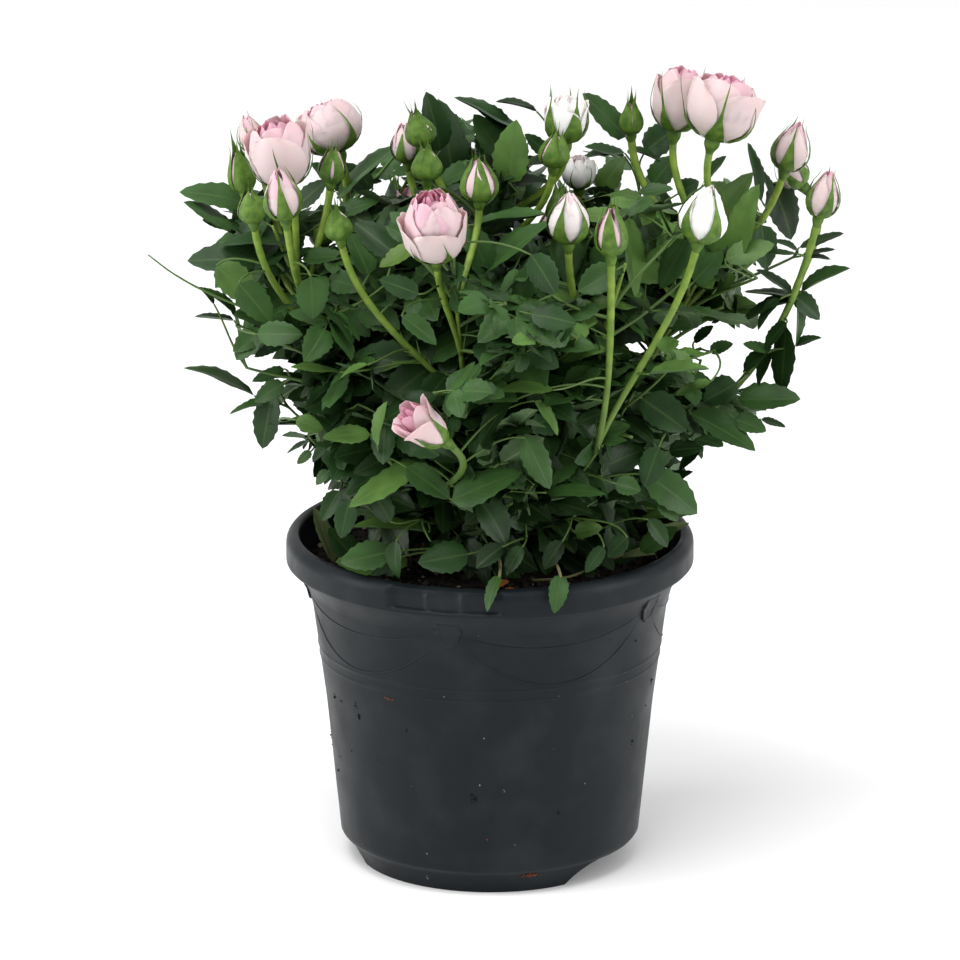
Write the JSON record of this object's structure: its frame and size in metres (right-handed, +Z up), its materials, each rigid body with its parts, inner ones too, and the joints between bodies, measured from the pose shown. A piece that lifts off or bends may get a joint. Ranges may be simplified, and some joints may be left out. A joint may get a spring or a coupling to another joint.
{
  "type": "potted rose bush",
  "caption": "Rose bush in flower in its nursery pot: slender canes from a woody crown carry airy masses of leaves, buds and blooms above a tapered round pot of soil.",
  "frame": {"origin": "centre of the pot's flat underside, at the level it stands on", "axes": "+Z up along the pot's axis; -Y is the side seen first and +X is to its right"},
  "size_m": [0.3866, 0.3479, 0.4658],
  "materials": {
    "pot_plastic": "satin",
    "potting_soil": "matte",
    "crown_wood": "matte",
    "cane_bark": "satin",
    "rose_leaf": "satin"
  },
  "bodies": {
    "root": {"pot": "pot_plastic", "soil": "potting_soil", "crown": "crown_wood", "cane_centre": "cane_bark", "cane_right": "cane_bark", "cane_front_right": "cane_bark", "cane_front_left": "cane_bark", "cane_left": "cane_bark", "cane_back_left": "cane_bark", "cane_back": "cane_bark", "cane_back_right": "cane_bark", "cane_skirt_1": "cane_bark", "cane_skirt_2": "cane_bark", "cane_skirt_3": "cane_bark", "cane_skirt_4": "cane_bark", "cane_skirt_5": "cane_bark", "cane_skirt_6": "cane_bark", "foliage_centre": "rose_leaf", "foliage_right": "rose_leaf", "foliage_front_right": "rose_leaf", "foliage_front_left": "rose_leaf", "foliage_left": "rose_leaf", "foliage_back_left": "rose_leaf", "foliage_back": "rose_leaf", "foliage_back_right": "rose_leaf", "foliage_skirt_1": "rose_leaf", "foliage_skirt_2": "rose_leaf", "foliage_skirt_3": "rose_leaf", "foliage_skirt_4": "rose_leaf", "foliage_skirt_5": "rose_leaf", "foliage_skirt_6": "rose_leaf"}
  },
  "joints": []
}
